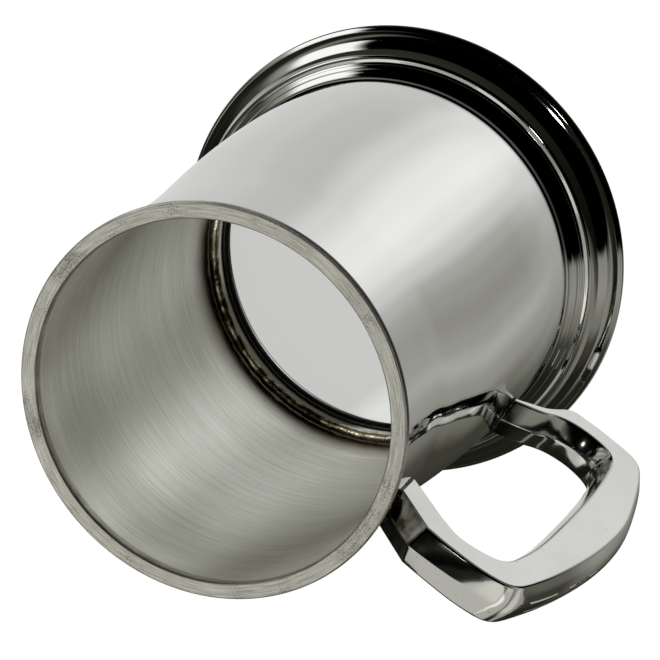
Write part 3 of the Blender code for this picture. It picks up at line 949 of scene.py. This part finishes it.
def make_softbox(name, towards, wide, high, light, only, distance=0.9, shape="RECTANGLE"):
    """Area light that faces the tankard from an azimuth and a rise in degrees; light is its brightness.

    Only the given pieces are lit by it, as by a card held close to them.
    """
    turn, lift = (math.radians(angle) for angle in towards)
    out = Vector((math.cos(turn) * math.cos(lift), math.sin(turn) * math.cos(lift), math.sin(lift)))
    made = make_light(name, wide, high, light, only)
    made.data.shape = shape
    made.location = AXIS + Vector((0.0, 0.0, 0.05)) + out * distance
    made.rotation_euler = out.to_track_quat("Z", "Y").to_euler()


def make_floor_card(name, azimuth, reach, wide, light, only):
    """Area light that lies face up on the floor, from one reach to the other out from the grip."""
    turn = math.radians(azimuth)
    made = make_light(name, reach[1] - reach[0], wide, light, only)
    out = Vector((math.cos(turn), math.sin(turn), 0.0))
    grip_low, grip_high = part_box("handle")
    made.location = Vector((grip_high.x, 0.0, FLOOR_DROP)) + out * 0.5 * (reach[0] + reach[1])
    made.rotation_euler = (math.pi, 0.0, turn)


def make_light(name, wide, high, light, only):
    lamp = bpy.data.lights.new(name, "AREA")
    lamp.shape = "RECTANGLE"
    lamp.size = wide
    lamp.size_y = high
    lamp.energy = math.pi * wide * high * light
    lamp.color = CARD_COLOUR
    made = bpy.data.objects.new(name, lamp)
    made.visible_camera = False
    bpy.context.scene.collection.objects.link(made)
    lit = bpy.data.collections.new(name + "_lights")
    for piece in only:
        lit.objects.link(piece)
    made.light_linking.receiver_collection = lit
    return made


def make_camera():
    place = CAMERA_PLACE + AXIS
    back = (CAMERA_PLACE - CAMERA_AIM).normalized()
    level_right = Vector((0.0, 0.0, 1.0)).cross(back).normalized()
    level_up = back.cross(level_right)
    roll = math.radians(CAMERA_ROLL)
    right = math.cos(roll) * level_right + math.sin(roll) * level_up
    lens = bpy.data.cameras.new("camera")
    lens.lens = CAMERA_LENS
    lens.sensor_width = SENSOR
    lens.clip_start = 0.01
    camera = bpy.data.objects.new("camera", lens)
    turned = Matrix((right, back.cross(right), back)).transposed()
    camera.matrix_world = Matrix.Translation(place) @ turned.to_4x4()
    bpy.context.scene.collection.objects.link(camera)
    bpy.context.scene.camera = camera


barrel = make_barrel_wall()
rim = make_rim_lip()
foot = make_foot_flare()
make_seal_ring()
make_glass_bottom()
base_ring = (
    make_seat_collar_ring(),
    make_solder_bead("base_bead", "base_solder_bead", 4.0 * MM, 0.25, BASE_SOLDER),
)
make_solder_bead("foot_seam", "foot_solder_seam", 3.0 * MM, 0.25, SOLDER)
run = handle_run()
grip = (
    make_cast_handle(run),
    make_root_bead("upper_root_bead", "upper_root_solder", run[0], run[5]),
    make_root_bead("lower_root_bead", "lower_root_solder", run[-1], run[-6]),
)
make_floor()
make_world()
make_softbox("lamp_by_camera", (80, 74), 0.06, 0.24, 6.0, only=(foot,), shape="ELLIPSE")
make_softbox("lamp_by_grip", (80, 74), 0.06, 0.08, 4.0, only=grip, shape="ELLIPSE")
make_softbox("card_over_rim", (256, 62), 1.30, 1.30, 0.44, only=(rim,))
make_softbox("card_over_mouth", (76, 88), 0.80, 0.80, 3.20, only=base_ring)
make_softbox("card_over_grip", (307, 50), 0.72, 0.36, 0.68, only=grip, distance=0.42)
make_softbox("card_by_grip", (335, 22), 0.29, 0.11, 0.58, only=grip, distance=0.30)
make_floor_card("card_on_floor", 336, (0.17, 1.10), 0.35, 0.40, only=grip)
for azimuth, light in BARREL_CARDS:
    make_softbox("card_%d" % azimuth, (azimuth, 30), 0.98, 0.90, light, only=(barrel,))
make_camera()
bpy.context.scene.view_settings.view_transform = "Standard"
